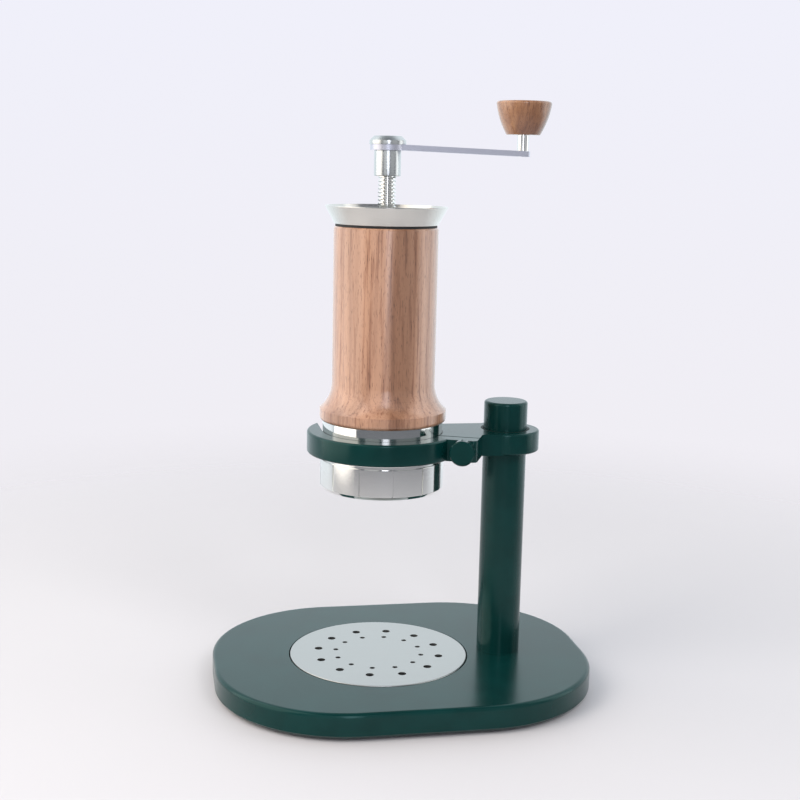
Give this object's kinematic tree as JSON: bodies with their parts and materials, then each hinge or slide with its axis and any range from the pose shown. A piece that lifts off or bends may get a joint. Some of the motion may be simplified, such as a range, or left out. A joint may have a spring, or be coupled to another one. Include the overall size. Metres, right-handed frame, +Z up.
{
  "type": "manual espresso maker",
  "caption": "Manual espresso maker: a crank and screw press a piston down a wood-sleeved chamber over a bottomless portafilter, clamped in a ring on a column stand with a drip tray.",
  "frame": {"origin": "middle of the base plate at the height of the table", "axes": "+Z up, +X from the brewer towards the column, -Y the front with the clamp screw"},
  "size_m": [0.217, 0.172, 0.3333],
  "materials": {
    "green_powder_coat": "satin dark green powder coat",
    "rubber": "black moulded rubber",
    "brushed_steel": "brushed stainless steel",
    "fastener_steel": "plain stainless steel",
    "polished_steel": "polished stainless steel",
    "satin_steel": "bead-blasted stainless steel",
    "walnut": "oiled walnut, grain along the axis",
    "bronze": "turned bearing bronze",
    "acetal": "turned natural acetal",
    "black_nylon": "black nylon"
  },
  "bodies": {
    "stand": {"base_plate": "green_powder_coat", "base_feet": "rubber", "column_tube": "green_powder_coat", "column_cap": "green_powder_coat", "column_foot_plug": "fastener_steel", "column_bolt": "fastener_steel", "column_washer": "fastener_steel"},
    "pan": {"drip_pan": "brushed_steel"},
    "grille": {"drip_grille": "brushed_steel"},
    "liner": {"collar_liner": "black_nylon"},
    "holder": {"holder_arm": "green_powder_coat", "collar_set_screw": "fastener_steel", "strap_dowel": "fastener_steel"},
    "strap": {"ring_strap": "green_powder_coat"},
    "clamp_screw": {"clamp_stud": "fastener_steel", "clamp_knob": "green_powder_coat"},
    "brewer": {"body_collar": "polished_steel", "chamber_tube": "brushed_steel", "tube_seal": "rubber", "wood_sleeve": "walnut", "funnel_gasket": "rubber", "funnel": "brushed_steel", "spindle_bridge": "brushed_steel", "spindle_nut": "bronze", "dispersion_screen": "brushed_steel", "screen_bolt": "fastener_steel", "group_gasket": "rubber"},
    "piston": {"piston_head": "acetal", "piston_seals": "rubber", "spindle_retainer": "fastener_steel", "valve_bolt": "fastener_steel"},
    "valve": {"valve_ring": "rubber"},
    "crank": {"spindle": "brushed_steel", "crank_hub": "polished_steel", "crank_arm": "satin_steel", "cap_nut": "polished_steel", "knob_axle": "fastener_steel", "knob_clip": "fastener_steel"},
    "knob": {"knob": "walnut", "knob_bush": "bronze", "knob_plug": "walnut"},
    "basket": {"filter_basket": "brushed_steel"},
    "portafilter": {"portafilter_ring": "polished_steel"}
  },
  "joints": [
    {"name": "pan_lift", "type": "slide", "parent": "stand", "child": "pan", "axis": [0, 0, 1], "range_m": [0, 0.012]},
    {"name": "grille_lift", "type": "slide", "parent": "pan", "child": "grille", "axis": [0, 0, 1], "range_m": [0, 0.025]},
    {"name": "holder_height", "type": "slide", "parent": "stand", "child": "liner", "axis": [0, 0, 1], "range_m": [-0.09, 0.012]},
    {"name": "holder_swing", "type": "hinge", "parent": "liner", "child": "holder", "pos_m": [0.059, 0, 0.1427], "axis": [0, 0, 1], "continuous": true},
    {"name": "strap_slide", "type": "slide", "parent": "holder", "child": "strap", "axis": [-0.3939, -0.9191, 0], "range_m": [0, 0.0024]},
    {"name": "clamp_turn", "type": "hinge", "parent": "strap", "child": "clamp_screw", "pos_m": [0.02676, -0.03314, 0.1427], "axis": [-0.3939, -0.9191, 0], "range_deg": [0, 1080]},
    {"name": "brewer_slide", "type": "slide", "parent": "holder", "child": "brewer", "axis": [0, 1, 0], "range_m": [0, 0.09]},
    {"name": "piston_slide", "type": "slide", "parent": "brewer", "child": "piston", "axis": [0, 0, 1], "range_m": [-0.028, 0.036]},
    {"name": "crank_turn", "type": "hinge", "parent": "piston", "child": "crank", "pos_m": [-0.013, 0, 0.3], "axis": [0, 0, 1], "range_deg": [-2520, 3240]},
    {"name": "valve_lift", "type": "slide", "parent": "piston", "child": "valve", "axis": [0, 0, 1], "range_m": [0, 0.0016]},
    {"name": "knob_spin", "type": "hinge", "parent": "crank", "child": "knob", "pos_m": [0.0634, 0, 0.324], "axis": [0, 0, 1], "continuous": true},
    {"name": "basket_slide", "type": "slide", "parent": "brewer", "child": "basket", "axis": [0, 0, -1], "range_m": [0, 0.012]},
    {"name": "portafilter_turn", "type": "hinge", "parent": "basket", "child": "portafilter", "pos_m": [-0.013, 0, 0.126], "axis": [0, 0, -1], "range_deg": [0, 720]}
  ],
  "couplings": [
    {"joint": "clamp_turn", "follows": "strap_slide", "rad_per_m": 7854},
    {"joint": "crank_turn", "follows": "piston_slide", "rad_per_m": 1570.8},
    {"joint": "portafilter_turn", "follows": "basket_slide", "rad_per_m": 1047.2}
  ]
}
